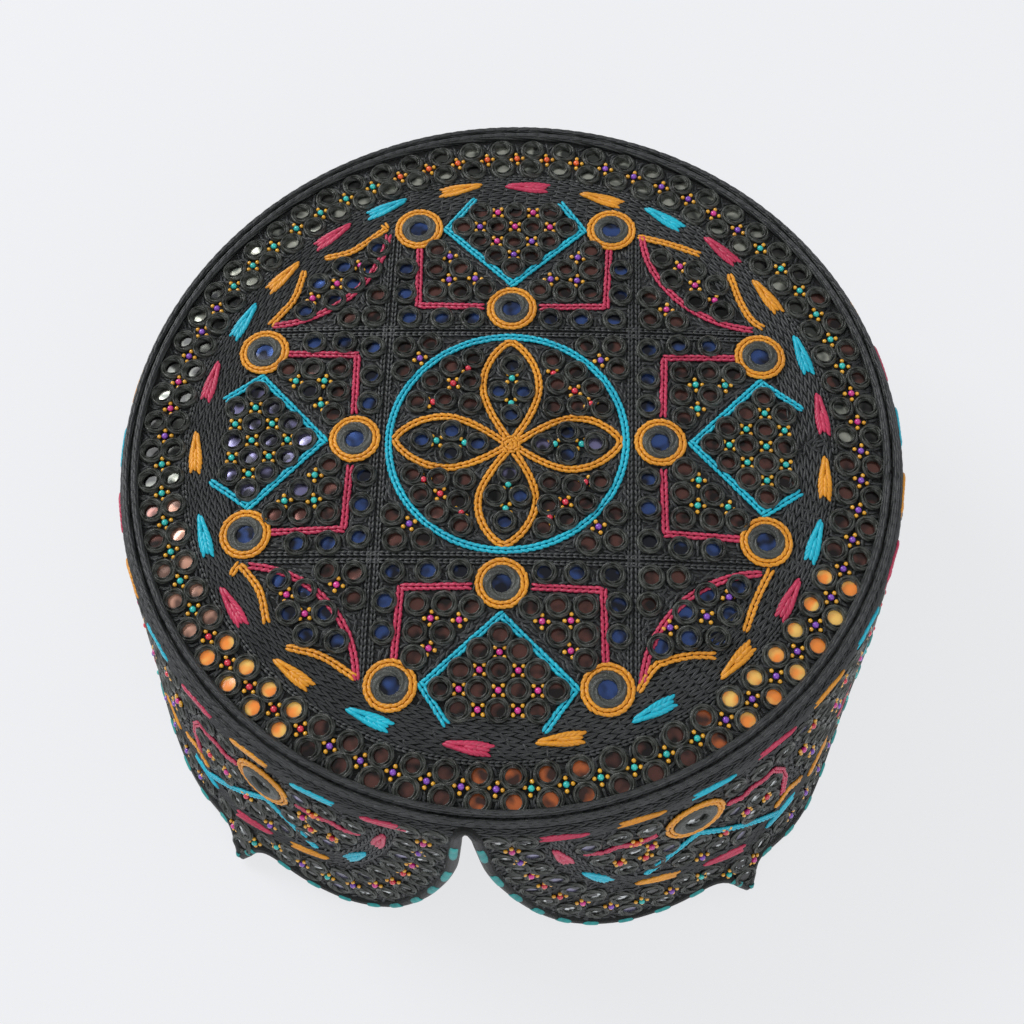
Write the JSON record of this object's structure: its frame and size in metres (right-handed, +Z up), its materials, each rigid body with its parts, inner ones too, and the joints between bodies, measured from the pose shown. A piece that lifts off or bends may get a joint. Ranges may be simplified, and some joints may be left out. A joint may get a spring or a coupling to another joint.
{
  "type": "sindhi cap",
  "caption": "Round embroidered cap with a low domed crown, a stitched wall, a pointed front arch, creased rim corners and a bound edge.",
  "frame": {"origin": "centre of the cap's box on the floor it stands on", "axes": "+Z up through the crown, -Y towards the front arch, +X to the right seen from the front"},
  "size_m": [0.191, 0.19, 0.0681],
  "materials": {
    "crown_cloth": "densely stitched black cotton",
    "wall_cloth": "densely stitched black cotton",
    "binding": "padded black binding with teal dashes",
    "piping": "twisted black cord",
    "amber_thread": "silky amber chain stitch",
    "teal_thread": "silky teal chain stitch",
    "magenta_thread": "silky magenta chain stitch",
    "mirror": "small round glass mirrors",
    "bead": "glossy seed beads"
  },
  "bodies": {
    "root": {"crown_panel": "crown_cloth", "side_wall": "wall_cloth", "rim_binding": "binding", "piping_inner": "piping", "piping_outer": "piping", "circle_braid": "teal_thread", "crown_ring_1_1": "amber_thread", "crown_ring_1_2": "amber_thread", "crown_ring_1_3": "amber_thread", "crown_ring_2_1": "amber_thread", "crown_ring_2_2": "amber_thread", "crown_ring_2_3": "amber_thread", "crown_ring_3_1": "amber_thread", "crown_ring_3_2": "amber_thread", "crown_ring_3_3": "amber_thread", "crown_ring_4_1": "amber_thread", "crown_ring_4_2": "amber_thread", "crown_ring_4_3": "amber_thread", "wall_ring_1": "amber_thread", "wall_ring_2": "amber_thread", "wall_ring_3": "amber_thread", "wall_ring_4": "amber_thread", "wall_ring_5": "amber_thread", "wall_ring_6": "amber_thread", "petal_braid_1": "amber_thread", "petal_braid_2": "amber_thread", "petal_braid_3": "amber_thread", "petal_braid_4": "amber_thread", "crown_mirror_1_1": "mirror", "crown_mirror_1_2": "mirror", "crown_mirror_1_3": "mirror", "crown_mirror_2_1": "mirror", "crown_mirror_2_2": "mirror", "crown_mirror_2_3": "mirror", "crown_mirror_3_1": "mirror", "crown_mirror_3_2": "mirror", "crown_mirror_3_3": "mirror", "crown_mirror_4_1": "mirror", "crown_mirror_4_2": "mirror", "crown_mirror_4_3": "mirror", "wall_mirror_1": "mirror", "wall_mirror_2": "mirror", "wall_mirror_3": "mirror", "wall_mirror_4": "mirror", "wall_mirror_5": "mirror", "wall_mirror_6": "mirror", "diamond_braid_1": "teal_thread", "diamond_braid_2": "teal_thread", "diamond_braid_3": "teal_thread", "diamond_braid_4": "teal_thread", "arc_braid_1": "magenta_thread", "arc_braid_2": "magenta_thread", "arc_braid_3": "magenta_thread", "arc_braid_4": "magenta_thread"}
  },
  "joints": []
}
